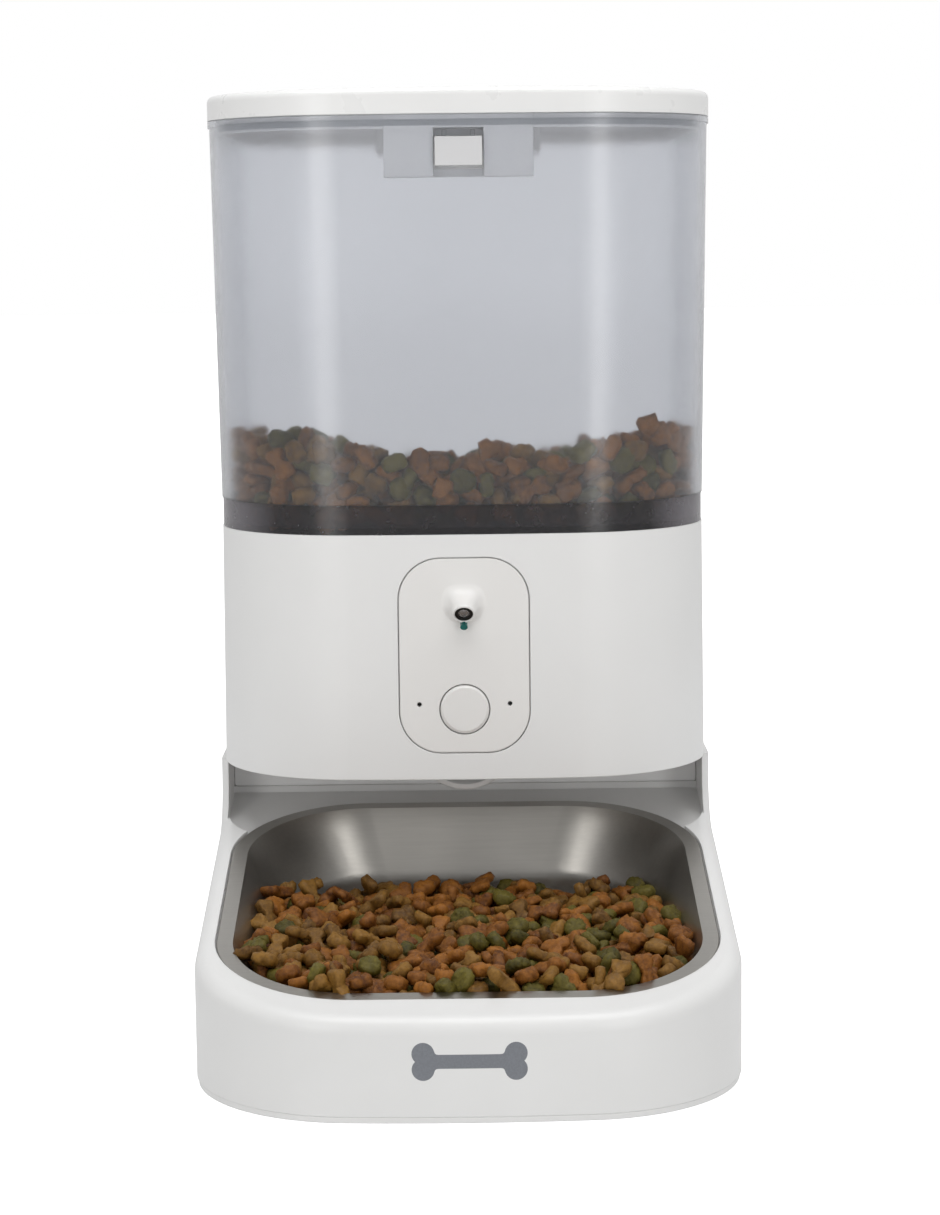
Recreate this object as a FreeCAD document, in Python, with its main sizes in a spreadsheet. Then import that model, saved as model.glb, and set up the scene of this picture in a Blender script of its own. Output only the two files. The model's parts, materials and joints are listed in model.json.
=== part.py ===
"""Automatic pet feeder: a base with a sloping bowl, a body with the portion drive, and a lift-off food tank.

Millimetres. The origin is on the floor under the middle of the feeder, the front faces -Y and +Z is up.
"""
import FreeCAD, Part
import math
import os
import re
import Sketcher
from FreeCAD import Placement, Rotation, Vector

doc = FreeCAD.newDocument("PetFeeder")

# ---------------------------------------------------------------------------------------------------------
# Driving dimensions
# ---------------------------------------------------------------------------------------------------------

SIZES = [
    ("base_half", 96.0, "half the width of the base"),
    ("base_front", -160.0, "front of the base"),
    ("base_rear", 160.0, "rear of the base"),
    ("base_corner", 58.0, "plan radius of the base's front corners"),
    ("rear_corner", 38.0, "plan radius of all rear corners"),
    ("front_bow", 600.0, "radius of the gently bowed fronts"),
    ("foot_drop", 1.2, "how far the feet stand below the bottom plate"),
    ("plate_top", 3.4, "top of the bottom plate"),
    ("base_wall", 3.0, "wall of the base"),
    ("deck_tilt", 10.9, "forward tilt of bowl and deck, in degrees"),
    ("rim_front_y", -143.0, "front edge of the bowl rim"),
    ("rim_front_z", 39.0, "height of that edge"),
    ("deck_rise", 0.6, "deck above the bowl rim"),
    ("lip_round", 6.0, "rounding of the base's top edge"),
    ("flank_top", 92.0, "top of the base, bottom of the body"),
    ("flank_front", 23.0, "front edge of the flanks beside the neck"),
    ("flank_inner", 93.0, "half the clear width between the flanks"),
    ("flank_curve", 16.0, "radius between flank edge and deck edge"),
    ("neck_front", 50.0, "front face of the neck"),
    ("kerb_top", 76.4, "top of the kerb, bottom of the neck panel"),
    ("tray_corner", 26.0, "plan radius of that recess"),
    ("bowl_size", 178.0, "outer size of the square bowl rim"),
    ("bowl_corner", 51.0, "corner radius of the rim"),
    ("rim_width", 5.0, "width of the rim flange"),
    ("rim_thick", 1.4, "thickness of the hemmed rim"),
    ("bowl_sheet", 0.9, "thickness of the bowl's sheet"),
    ("bowl_depth", 31.0, "depth of the bowl"),
    ("bowl_draft", 15.0, "how far the bowl's wall leans in over its depth"),
    ("bowl_bend", 15.0, "bend between the bowl's wall and floor"),
    ("body_half", 94.2, "half width of the body at its bottom"),
    ("body_front", -24.2, "front of the body at its bottom"),
    ("body_top_half", 93.5, "half width of the body at its top"),
    ("body_top_front", -23.5, "front of the body at its top"),
    ("body_top", 184.5, "top of the body"),
    ("body_rear", 158.2, "rear of the body"),
    ("body_wall", 3.0, "wall of the body"),
    ("tower_corner", 54.0, "plan radius of the tower's front corners"),
    ("band_top", 195.5, "top of the smoked band"),
    ("band_half", 93.2, "half width of the smoked band"),
    ("band_front", -23.2, "front of the smoked band"),
    ("band_rear", 157.2, "rear of the smoked band"),
    ("tank_half", 93.6, "half width of the tank at its bottom"),
    ("tank_front", -23.6, "front of the tank at its bottom"),
    ("tank_rear", 157.6, "rear of the tank at its bottom"),
    ("tank_top", 336.7, "underside of the tank's rim bead"),
    ("tank_wall", 2.4, "wall of the tank"),
    ("rim_top", 339.0, "top of the tank's rim bead"),
    ("lid_bottom", 339.3, "underside of the lid's edge"),
    ("lid_top", 350.0, "crown of the lid"),
    ("lid_half", 96.0, "half width of lid and tank rim"),
    ("lid_front", -26.0, "front of lid and tank rim"),
    ("lid_rear", 160.0, "rear of lid and tank rim"),
    ("lid_crown", 4000.0, "radius of the lid's domed top"),
    ("lid_round", 2.6, "rounding of the lid's top edge"),
    ("lid_wall", 2.4, "wall of the lid"),
    ("rotor_y", 67.0, "rotor axis behind the origin"),
    ("chamber_radius", 42.0, "inside radius of the portion chamber"),
    ("chamber_floor", 128.0, "underside of the chamber"),
    ("funnel_wall", 2.4, "wall of the hopper base"),
    ("funnel_mouth", 84.0, "top radius of the funnel"),
    ("funnel_bottom", 158.0, "where the funnel meets the chamber"),
    ("vane_count", 6.0, "vanes of the rotor"),
    ("rotor_low", 131.0, "underside of the rotor"),
    ("rotor_high", 150.0, "top of the rotor vanes"),
    ("gear_module", 1.0, "module of the drive gears"),
    ("drum_teeth", 28.0, "teeth of the output gear"),
    ("idler_teeth", 20.0, "teeth of the idler"),
    ("pinion_teeth", 12.0, "teeth of the motor pinion"),
    ("gear_low", 99.0, "underside of the gears"),
    ("gear_face", 8.0, "face width of the gears"),
    ("chute_half", 17.0, "inside half width of the food chute"),
    ("chute_wall", 2.0, "wall of the chute"),
    ("chute_exit", 1.0, "front end of the chute"),
    ("chute_low", 83.4, "lowest point of the chute"),
    ("chute_slope", 41.0, "slope of the chute, in degrees"),
    ("panel_width", 48.6, "width of the front panel"),
    ("panel_height", 73.2, "height of the front panel"),
    ("panel_z", 139.0, "middle height of the front panel"),
    ("panel_corner", 15.65, "corner radius of the front panel"),
    ("panel_thick", 1.6, "thickness of the front panel"),
    ("panel_gap", 0.4, "groove around the front panel"),
    ("button_z", 118.7, "height of the feed button"),
    ("button_radius", 9.2, "radius of the feed button"),
    ("button_gap", 0.35, "groove around the feed button"),
    ("mic_x", 17.0, "side offset of the microphone holes"),
    ("mic_z", 120.7, "height of the microphone holes"),
    ("lens_z", 155.7, "height of the lens"),
    ("lens_y", -28.7, "front-to-back place of the lens"),
    ("lens_tilt", 36.0, "downward tilt of the lens, in degrees"),
    ("latch_half", 27.5, "half width of the latch block"),
    ("latch_low", 316.5, "underside of the latch block"),
    ("tab_half", 8.7, "half width of the latch button"),
    ("tab_low", 320.4, "underside of the latch button"),
    ("tab_high", 331.0, "top of the latch button"),
    ("tab_gap", 0.5, "gap beside the latch button"),
    ("jack_x", -45.0, "side offset of the power inlet"),
    ("jack_z", 22.0, "height of the power inlet"),
    ("jack_bore", 2.75, "radius of the power inlet's bore"),
    ("jack_depth", 9.5, "depth of the power inlet's bore"),
    ("foot_radius", 9.0, "radius of the rubber feet"),
    ("idler_y", 91.0, "idler axle behind the origin"),
    ("motor_y", 107.0, "motor axis behind the origin"),
    ("motor_radius", 12.0, "radius of the motor"),
    ("shaft_radius", 4.0, "radius of the output shaft"),
    ("axle_radius", 2.0, "radius of the idler axle"),
    ("speaker_x", -58.0, "side offset of the speaker"),
    ("speaker_y", 36.0, "speaker behind the origin"),
    ("pivot_y", -21.2, "latch pivot, front to back"),
    ("pivot_z", 329.0, "height of the latch pivot"),
    ("ear_x", 5.2, "side offset of the pivot's ears"),
    ("screw_radius", 1.4, "radius of the base screws"),
]

dims = doc.addObject("Spreadsheet::Sheet", "Dims")
for row, (alias, number, note) in enumerate(SIZES, 1):
    dims.set(f"A{row}", alias)
    dims.set(f"B{row}", str(number))
    dims.set(f"C{row}", note)
    dims.setAlias(f"B{row}", alias)
doc.recompute()
ALIASES = {alias for alias, _, _ in SIZES}


def value(text):
    """The number that an expression on the sheet gives."""
    return float(dims.evalExpression(str(text)))


def link(text):
    """The same expression as another object has to write it."""
    return re.sub(r"[a-z_]+", lambda m: "Dims." + m.group() if m.group() in ALIASES else m.group(), str(text))


def bind(thing, **settings):
    """Bind properties to the sheet; a double underscore stands for a dot."""
    for prop, text in settings.items():
        thing.setExpression(prop.replace("__", "."), link(text))


# ---------------------------------------------------------------------------------------------------------
# Sketches
# ---------------------------------------------------------------------------------------------------------

def sketch(body, name, plane="XY_Plane", lift="0", x="0", y="0", tilt=None):
    """An empty sketch on one of the body's own planes, moved by an offset and maybe tilted about X."""
    drawn = body.newObject("Sketcher::SketchObject", name)
    support = [f for f in body.Origin.OriginFeatures if f.Role == plane][0]
    drawn.AttachmentSupport = [(support, "")]
    drawn.MapMode = "FlatFace"
    if tilt is not None:
        drawn.AttachmentOffset = Placement(Vector(), Rotation(Vector(1, 0, 0), value(tilt)))
        bind(drawn, AttachmentOffset__Rotation__Angle=tilt)
    bind(drawn, AttachmentOffset__Base__x=x, AttachmentOffset__Base__y=y, AttachmentOffset__Base__z=lift)
    return drawn


def dimension(drawn, kind, places, text):
    """Add one dimension and bind it to the sheet."""
    index = drawn.addConstraint(Sketcher.Constraint(kind, *places, value(text)))
    drawn.setExpression(f"Constraints[{index}]", link(text))


def join_tangent(drawn, first, count):
    """Join each element's end to the next one's start, tangent all the way round."""
    for i in range(count):
        drawn.addConstraint(Sketcher.Constraint("Tangent", first + i, 2, first + (i + 1) % count, 1))


def arc(cx, cy, radius, start, end):
    """An arc of a circle, counter-clockwise between two angles in radians."""
    return Part.ArcOfCircle(Part.Circle(Vector(cx, cy, 0), Vector(0, 0, 1), radius), start, end)


def line(x0, y0, x1, y1):
    """A straight sketch line."""
    return Part.LineSegment(Vector(x0, y0, 0), Vector(x1, y1, 0))


def d_plan(drawn, half, front, rear, corner, back="rear_corner", bow="front_bow"):
    """The D-shaped plan: straight sides and rear, large front corners and a gently bowed front."""
    w, yf, yr, rc, rb, big = (value(text) for text in (half, front, rear, corner, back, bow))
    cx = w - rc
    cy = yf + big - math.sqrt((big - rc) ** 2 - cx ** 2)
    turn = -math.atan2(cy - yf - big, cx)
    pieces = [
        line(w, cy, w, yr - rb),
        arc(w - rb, yr - rb, rb, 0, math.pi / 2),
        line(w - rb, yr, rb - w, yr),
        arc(rb - w, yr - rb, rb, math.pi / 2, math.pi),
        line(-w, yr - rb, -w, cy),
        arc(-cx, cy, rc, math.pi, math.pi + turn),
        arc(0, yf + big, big, math.pi + turn, 2 * math.pi - turn),
        arc(cx, cy, rc, 2 * math.pi - turn, 2 * math.pi),
    ]
    drawn.addGeometry(pieces)
    join_tangent(drawn, 0, 8)
    for side in (0, 4):
        drawn.addConstraint(Sketcher.Constraint("Vertical", side))
    drawn.addConstraint(Sketcher.Constraint("Horizontal", 2))
    drawn.addConstraint(Sketcher.Constraint("PointOnObject", 6, 3, -2))
    dimension(drawn, "DistanceX", (-1, 1, 0, 1), half)
    dimension(drawn, "DistanceX", (4, 1, -1, 1), half)
    dimension(drawn, "DistanceY", (-1, 1, 2, 1), rear)
    dimension(drawn, "DistanceY", (-1, 1, 6, 3), f"{front} + {bow}")
    for index, text in ((1, back), (3, back), (5, corner), (7, corner), (6, bow)):
        dimension(drawn, "Radius", (index,), text)
    return drawn


def round_rect(drawn, width, height, corner):
    """A rounded rectangle centred on the sketch's origin."""
    a, b, r = value(width) / 2, value(height) / 2, value(corner)
    pieces = [
        line(a, r - b, a, b - r),
        arc(a - r, b - r, r, 0, math.pi / 2),
        line(a - r, b, r - a, b),
        arc(r - a, b - r, r, math.pi / 2, math.pi),
        line(-a, b - r, -a, r - b),
        arc(r - a, r - b, r, math.pi, 1.5 * math.pi),
        line(r - a, -b, a - r, -b),
        arc(a - r, r - b, r, 1.5 * math.pi, 2 * math.pi),
    ]
    n = drawn.GeometryCount
    drawn.addGeometry(pieces)
    join_tangent(drawn, n, 8)
    for side in (0, 4):
        drawn.addConstraint(Sketcher.Constraint("Vertical", n + side))
    for side in (2, 6):
        drawn.addConstraint(Sketcher.Constraint("Horizontal", n + side))
    for index in (3, 5, 7):
        drawn.addConstraint(Sketcher.Constraint("Equal", n + 1, n + index))
    dimension(drawn, "Radius", (n + 1,), corner)
    dimension(drawn, "DistanceX", (-1, 1, n, 1), f"({width}) / 2")
    dimension(drawn, "DistanceX", (n + 4, 1, -1, 1), f"({width}) / 2")
    dimension(drawn, "DistanceY", (-1, 1, n + 2, 1), f"({height}) / 2")
    dimension(drawn, "DistanceY", (n + 6, 1, -1, 1), f"({height}) / 2")
    return drawn


def circle(drawn, radius):
    """A circle about the sketch's origin."""
    index = drawn.addGeometry(Part.Circle(Vector(), Vector(0, 0, 1), value(radius)))
    drawn.addConstraint(Sketcher.Constraint("Coincident", index, 3, -1, 1))
    dimension(drawn, "Radius", (index,), radius)
    return drawn


def polygon(drawn, corners):
    """A closed polygon; each corner is a pair of expressions."""
    points = [Vector(value(x), value(y), 0) for x, y in corners]
    first = drawn.GeometryCount
    count = len(points)
    for i in range(count):
        drawn.addGeometry(Part.LineSegment(points[i], points[(i + 1) % count]))
    for i in range(count):
        drawn.addConstraint(Sketcher.Constraint("Coincident", first + i, 2, first + (i + 1) % count, 1))
    for i, (x, y) in enumerate(corners):
        dimension(drawn, "DistanceX", (-1, 1, first + i, 1), x)
        dimension(drawn, "DistanceY", (-1, 1, first + i, 1), y)
    return drawn


# ---------------------------------------------------------------------------------------------------------
# Features
# ---------------------------------------------------------------------------------------------------------

NODES = []


def new_body(label):
    """A PartDesign body that is one sub-part."""
    body = doc.addObject("PartDesign::Body", "Body_" + label)
    body.Label = label
    NODES.append(body)
    return body


def node(thing, label):
    """Make a Part object one of the sub-parts."""
    thing.Label = label
    NODES.append(thing)
    return thing


def prism(body, kind, drawn, length, back=False, middle=False, taper=None):
    """Pad or pocket a sketch; a pocket has to remove material and a pad has to add some."""
    before = body.Shape.Volume if body.Shape and not body.Shape.isNull() else 0.0
    made = body.newObject("PartDesign::" + kind, kind + "_" + drawn.Name)
    made.Profile = drawn
    made.Reversed = back
    made.Midplane = middle
    bind(made, Length=length)
    if taper is not None:
        bind(made, TaperAngle=taper)
    drawn.Visibility = False
    doc.recompute()
    change = made.Shape.Volume - before
    if (kind == "Pad") != (change > 0):
        raise RuntimeError(f"{body.Label}: {kind} of {drawn.Name} changes the volume by {change:.3f}")
    return made


def pad(body, drawn, length, **options):
    """Add a prism."""
    return prism(body, "Pad", drawn, length, **options)


def pocket(body, drawn, length, **options):
    """Remove a prism."""
    return prism(body, "Pocket", drawn, length, **options)


def revolve(body, drawn, name, add=True):
    """Turn a sketch about its own vertical axis."""
    made = body.newObject("PartDesign::Revolution" if add else "PartDesign::Groove", name)
    made.Profile = drawn
    made.ReferenceAxis = (drawn, ["V_Axis"])
    made.Angle = 360
    doc.recompute()
    return made


def loft(body, sections, name, add=True):
    """Join sketches with a ruled skin."""
    made = body.newObject("PartDesign::AdditiveLoft" if add else "PartDesign::SubtractiveLoft", name)
    made.Profile = sections[0]
    made.Sections = sections[1:]
    made.Ruled = True
    doc.recompute()
    return made


def edges_of(shape, test):
    """Names of the edges whose middle point passes a test."""
    names = []
    for i, edge in enumerate(shape.Edges, 1):
        middle = edge.valueAt((edge.FirstParameter + edge.LastParameter) / 2)
        if test(middle, edge):
            names.append(f"Edge{i}")
    return names


def round_edges(body, base, test, radius, name, kind="Fillet"):
    """Fillet (or chamfer) the edges of a feature that pass a test."""
    names = edges_of(base.Shape, test)
    if not names:
        raise RuntimeError(f"{body.Label}: {name} found no edges")
    made = body.newObject("PartDesign::" + kind, name)
    made.Base = (base, names)
    bind(made, **({"Radius": radius} if kind == "Fillet" else {"Size": radius}))
    doc.recompute()
    return made


def polar(body, feature, count, name):
    """Repeat a feature about the body's Z axis."""
    made = body.newObject("PartDesign::PolarPattern", name)
    made.Originals = [feature]
    made.Axis = ([f for f in body.Origin.OriginFeatures if f.Role == "Z_Axis"][0], [""])
    made.Angle = 360
    bind(made, Occurrences=count)
    body.Tip = made
    doc.recompute()
    return made


def place(thing, x="0", y="0", z="0", axis=None, angle="0"):
    """Put a thing at a bound position, maybe turned about an axis by a bound angle."""
    if axis is not None:
        thing.Placement = Placement(Vector(), Rotation(Vector(*axis), value(angle)))
        bind(thing, Placement__Rotation__Angle=angle)
    bind(thing, Placement__Base__x=x, Placement__Base__y=y, Placement__Base__z=z)
    return thing


def box(name, length, width, height, x="0", y="0", z="0"):
    """A box whose base is centred on x and y and stands on z."""
    made = doc.addObject("Part::Box", name)
    bind(made, Length=length, Width=width, Height=height)
    return place(made, f"({x}) - ({length}) / 2", f"({y}) - ({width}) / 2", z)


def cylinder(name, radius, height, x="0", y="0", z="0", axis=None, angle="0"):
    """A cylinder that stands on its position."""
    made = doc.addObject("Part::Cylinder", name)
    bind(made, Radius=radius, Height=height)
    return place(made, x, y, z, axis, angle)


def cut(name, base, *tools):
    """Base less the tools."""
    made = doc.addObject("Part::Cut", name)
    made.Base = base
    made.Tool = tools[0] if len(tools) == 1 else fuse(name + "_tools", *tools)
    return made


def fuse(name, *shapes):
    """All shapes as one."""
    made = doc.addObject("Part::MultiFuse", name)
    made.Shapes = list(shapes)
    return made


def common(name, *shapes):
    """What all shapes share."""
    made = doc.addObject("Part::MultiCommon", name)
    made.Shapes = list(shapes)
    return made


def group(name, *shapes):
    """Separate solids kept in one sub-part."""
    made = doc.addObject("Part::Compound", name)
    made.Links = list(shapes)
    return made


# ---------------------------------------------------------------------------------------------------------
# Base: shell with the sloping deck, bottom plate, feet, neck panel, bowl
# ---------------------------------------------------------------------------------------------------------

DECK_LIFT = "deck_rise / cos(deck_tilt)"


def deck_at(y):
    """Height of the sloping deck above a front-to-back place."""
    return f"(rim_front_z + (({y}) - rim_front_y) * tan(deck_tilt) + {DECK_LIFT})"


def on_rim(body, name, along, above):
    """A sketch parallel to the bowl rim: so far along the slope from its front edge, and so far above it."""
    y = f"rim_front_y + ({along}) * cos(deck_tilt) - ({above}) * sin(deck_tilt)"
    lift = f"rim_front_z + ({along}) * sin(deck_tilt) + ({above}) * cos(deck_tilt)"
    return sketch(body, name, y=y, lift=lift, tilt="deck_tilt")


def base_plan(body, name, lift, inset="0"):
    """The base's plan at a height, drawn in by an inset."""
    return d_plan(
        sketch(body, name, lift=lift),
        f"base_half - ({inset})", f"base_front + ({inset})", f"base_rear - ({inset})",
        f"base_corner - ({inset})", f"rear_corner - ({inset})", f"front_bow - ({inset})",
    )


def make_base_shell():
    body = new_body("base_shell")
    pad(body, base_plan(body, "base_outline", "plate_top"), "flank_top - plate_top")
    front = "base_front - 10"
    above = [
        (front, deck_at(front)),
        ("flank_front", deck_at("flank_front")),
        ("flank_front", "flank_top + 5"),
        (front, "flank_top + 5"),
    ]
    sloped = pocket(body, polygon(sketch(body, "over_the_deck", "YZ_Plane"), above), "4 * base_half", middle=True)
    crease = value(deck_at("flank_front"))
    curved = round_edges(
        body, sloped, lambda p, e: abs(p.z - crease) < 0.1 and abs(p.x) < 1, "flank_curve", "flank_curve_fillet")

    def outer_lip(p, edge):
        middle = edge.tangentAt((edge.FirstParameter + edge.LastParameter) / 2)
        on_flank = abs(p.y - value("flank_front")) < 0.5
        outer = abs(p.x) > 40 or p.y < value("base_front") + 20
        return 30 < p.z < value("flank_top") - 0.1 and outer and (abs(middle.z) < 0.98 or on_flank)

    lipped = round_edges(body, curved, outer_lip, "lip_round", "lip_fillet")
    hollow = body.newObject("PartDesign::Thickness", "hollow")
    ends = (value("plate_top"), value("flank_top"))
    flat = [
        f"Face{i}" for i, face in enumerate(lipped.Shape.Faces, 1)
        if min(abs(face.CenterOfMass.z - z) + face.BoundBox.ZLength for z in ends) < 0.1
    ]
    hollow.Base = (lipped, flat)
    hollow.Reversed = True
    bind(hollow, Value="base_wall")
    doc.recompute()

    between = [
        ("flank_front - 8", deck_at("flank_front - 8")),
        ("neck_front + 10", deck_at("neck_front + 10")),
        ("neck_front + 10", "flank_top + 5"),
        ("flank_front - 8", "flank_top + 5"),
    ]
    gap = polygon(sketch(body, "between_flanks", "YZ_Plane"), between)
    pocket(body, gap, "2 * flank_inner", middle=True)
    tray = on_rim(body, "tray_outline", "172", "deck_rise + 5")
    pocket(body, round_rect(tray, "2 * flank_inner", "60", "tray_corner"), "base_wall + 5")
    floor = on_rim(body, "tray_floor", "170", "deck_rise - 2 * base_wall")
    pad(body, round_rect(floor, "2 * flank_inner + 1", "58", "1"), "base_wall")
    kerb = [
        ("neck_front", deck_at("neck_front - 2 * base_wall") + " - 2 * base_wall"),
        ("neck_front + base_wall", deck_at("neck_front - 2 * base_wall") + " - 2 * base_wall"),
        ("neck_front + base_wall", "kerb_top"),
        ("neck_front", "kerb_top"),
    ]
    pad(body, polygon(sketch(body, "kerb", "YZ_Plane"), kerb), "2 * flank_inner + 1", middle=True)
    opening = on_rim(body, "bowl_opening", "bowl_size / 2", "deck_rise + 5")
    inner = "bowl_size - 2 * rim_width + 2"
    pocket(body, round_rect(opening, inner, inner, "bowl_corner - rim_width + 1"), "4 * base_wall + 5")
    seat = on_rim(body, "rim_seat", "bowl_size / 2", "deck_rise + 5")
    outer = "bowl_size + 0.8"
    pocket(body, round_rect(seat, outer, outer, "bowl_corner + 0.4"), "deck_rise + rim_thick + 5")
    for side in (-1, 1):
        for place_name, y in (("front", "-60"), ("rear", "100")):
            post = sketch(body, f"post_{place_name}_{side + 1}", x=f"{side} * (base_half - 6)", y=y, lift="plate_top")
            pad(body, circle(post, "4.5"), "16")
            bored = sketch(body, f"bore_{place_name}_{side + 1}", x=f"{side} * (base_half - 6)", y=y, lift="plate_top")
            pocket(body, circle(bored, "screw_radius + 0.05"), "11", back=True)
    inlet = sketch(body, "inlet_hole", "XZ_Plane", x="jack_x", y="jack_z", lift="-base_rear - 1")
    pocket(body, circle(inlet, "5.2"), "base_wall + 2", back=True)
    return body


def make_bottom_plate():
    body = new_body("bottom_plate")
    pad(body, base_plan(body, "plate_outline", "foot_drop", "0.6"), "plate_top - foot_drop")
    for x in (-1, 1):
        for y in ("-95", "105"):
            foot = sketch(body, f"foot_{x + 1}_{y.strip('-')}", x=f"{x} * 62", y=y, lift="foot_drop")
            pocket(body, circle(foot, "foot_radius + 0.1"), "0.8", back=True)
        for y in ("-60", "100"):
            hole = sketch(body, f"hole_{x + 1}_{y.strip('-')}", x=f"{x} * (base_half - 6)", y=y, lift="foot_drop")
            pocket(body, circle(hole, "screw_radius + 0.2"), "plate_top", back=True)
    return body


def make_feet():
    for number, (x, y) in enumerate(((-1, "-95"), (1, "-95"), (-1, "105"), (1, "105")), 1):
        body = new_body(f"foot_{number}")
        disc = pad(body, circle(sketch(body, f"foot_disc_{number}"), "foot_radius"), "foot_drop + 0.8")
        round_edges(body, disc, lambda p, e: abs(p.z) < 0.01, "0.5", f"foot_edge_{number}")
        place(body, f"{x} * 62", y)


def make_base_screws():
    heads = [
        fuse(
            f"screw_{x}_{y}",
            cylinder(f"screw_head_{x}_{y}", "3", "1", f"{x} * (base_half - 6)", str(y), "foot_drop - 1"),
            cylinder(f"screw_shank_{x}_{y}", "screw_radius", "10", f"{x} * (base_half - 6)", str(y), "foot_drop"),
        )
        for x in (-1, 1) for y in (-60, 100)
    ]
    return node(group("base_screws_group", *heads), "base_screws")


def make_neck_panel():
    body = new_body("neck_panel")
    lift = "-(neck_front + base_wall)"
    tall = "flank_top - kerb_top"
    outline = sketch(body, "neck_outline", "XZ_Plane", y="(flank_top + kerb_top) / 2", lift=lift)
    pad(body, round_rect(outline, "2 * flank_inner - 0.4", tall, "1"), "base_wall - 1.2")
    return body


def make_tub(label, above, depth, inset):
    """A solid tub parallel to the rim, with leaning walls and a generous bend round its floor."""
    body = doc.addObject("PartDesign::Body", label)
    tilt = math.radians(value("deck_tilt"))
    mouth = f"bowl_size - 2 * rim_width - 2 * ({inset})"
    corner = f"bowl_corner - rim_width - ({inset})"
    lean = f"bowl_draft * (1 + ({above}) / bowl_depth)"
    upper = on_rim(body, label + "_mouth", "bowl_size / 2", above)
    lower = on_rim(body, label + "_floor", "bowl_size / 2", f"-({depth})")
    wide = f"{mouth} + 2 * (({lean}) - bowl_draft)"
    round_rect(upper, wide, wide, corner)
    round_rect(lower, f"{mouth} - 2 * bowl_draft", f"{mouth} - 2 * bowl_draft", f"{corner} - 0.4 * bowl_draft")
    tub = loft(body, [upper, lower], label + "_loft")

    def at_floor(p, edge):
        height = (p.z - value("rim_front_z")) * math.cos(tilt) - (p.y - value("rim_front_y")) * math.sin(tilt)
        return abs(height + value(depth)) < 0.1

    round_edges(body, tub, at_floor, f"bowl_bend + bowl_sheet - ({inset})", label + "_bend")
    return body


def make_bowl():
    outside = make_tub("tub_outside", "0", "bowl_depth", "0")
    flange = on_rim(outside, "rim_flange", "bowl_size / 2", "0")
    rim = pad(outside, round_rect(flange, "bowl_size", "bowl_size", "bowl_corner"), "rim_thick", back=True)
    reach = value("bowl_size / 2") - 1
    corner = value("bowl_corner")

    def outer_rim(p, edge):
        across = abs(p.x)
        along = abs((p.y - value("rim_front_y")) / math.cos(math.radians(value("deck_tilt"))) - reach - 1)
        at_corner = math.hypot(across - reach - 1 + corner, along - reach - 1 + corner) > corner - 1
        return max(across, along) > reach or (min(across, along) > reach - corner and at_corner)

    round_edges(outside, rim, outer_rim, "rim_thick / 2 - 0.005", "rolled_rim")
    inside = make_tub("tub_inside", "1", "bowl_depth - bowl_sheet", "bowl_sheet")
    return node(cut("bowl_cut", outside, inside), "bowl")


# ---------------------------------------------------------------------------------------------------------
# Body: shell, front panel with camera and feed button, electronics
# ---------------------------------------------------------------------------------------------------------

def body_plan(body, name, lift, top, inset="0"):
    """The body's plan at its bottom or its top, drawn in by an inset."""
    half, front = ("body_top_half", "body_top_front") if top else ("body_half", "body_front")
    return d_plan(
        sketch(body, name, lift=lift),
        f"{half} - ({inset})", f"{front} + ({inset})", f"body_rear - ({inset})",
        f"tower_corner - ({inset})", f"rear_corner - ({inset})", f"front_bow - ({inset})",
    )


def body_skin(label, thickness):
    """The body's tapered wall, of a chosen thickness, open above and below."""
    body = doc.addObject("PartDesign::Body", label)
    outer = [body_plan(body, label + "_low", "flank_top", False), body_plan(body, label + "_high", "body_top", True)]
    loft(body, outer, label + "_outside")
    inner = [
        body_plan(body, label + "_in_low", "flank_top", False, thickness),
        body_plan(body, label + "_in_high", "body_top", True, thickness),
    ]
    loft(body, inner, label + "_inside", add=False)
    return body


def front_prism(label, width, height, corner):
    """A rounded prism through the body's front, for the panel or its recess."""
    body = doc.addObject("PartDesign::Body", label)
    outline = sketch(body, label + "_outline", "XZ_Plane", y="panel_z", lift="-body_front + 10")
    pad(body, round_rect(outline, width, height, corner), "20", back=True)
    return body


def front_pin(name, radius, x, z, start="-body_front + 10", length="25"):
    """A cylinder along +Y through the front at a height."""
    return cylinder(name, radius, length, x, f"-({start})", z, (1, 0, 0), "-90")


def lens_pin(name, radius, start, length):
    """A cylinder along the lens axis; positive goes out of the lens."""
    y = f"lens_y - ({start}) * cos(lens_tilt)"
    z = f"lens_z - ({start}) * sin(lens_tilt)"
    return cylinder(name, radius, length, "0", y, z, (1, 0, 0), "90 + lens_tilt")


def make_body_shell():
    raw = body_skin("shell_wall", "body_wall")
    floor = body_plan(raw, "floor_outline", "flank_top", False, "1")
    pad(raw, floor, "2.5")
    drop = sketch(raw, "drop_opening", y="0.5", lift="flank_top - 1")
    pocket(raw, round_rect(drop, "2 * chute_half + 5.2", "33", "6"), "5", back=True)
    well = sketch(raw, "motor_well", y="motor_y", lift="flank_top - 1")
    pocket(raw, circle(well, "motor_radius + 1"), "5", back=True)
    grille = [(8 * math.cos(math.radians(60 * k)), 8 * math.sin(math.radians(60 * k))) for k in range(6)] + [(0, 0)]
    for k, (dx, dy) in enumerate(grille):
        hole = sketch(raw, f"grille_{k}", x=f"speaker_x + {dx:.3f}", y=f"speaker_y + {dy:.3f}", lift="flank_top - 1")
        pocket(raw, circle(hole, "1.5"), "5", back=True)
    recess = common(
        "panel_recess",
        body_skin("recess_skin", "panel_thick"),
        front_prism(
            "recess_prism", "panel_width + 2 * panel_gap", "panel_height + 2 * panel_gap",
            "panel_corner + panel_gap"),
    )
    holes = [
        front_pin("button_bore", "button_radius + button_gap", "0", "button_z"),
        lens_pin("camera_bore", "3.6", "-14", "15"),
        front_pin("mic_bore_left", "0.9", "-mic_x", "mic_z"),
        front_pin("mic_bore_right", "0.9", "mic_x", "mic_z"),
    ]
    return node(cut("body_shell_cut", raw, recess, *holes), "body_shell")


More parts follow.
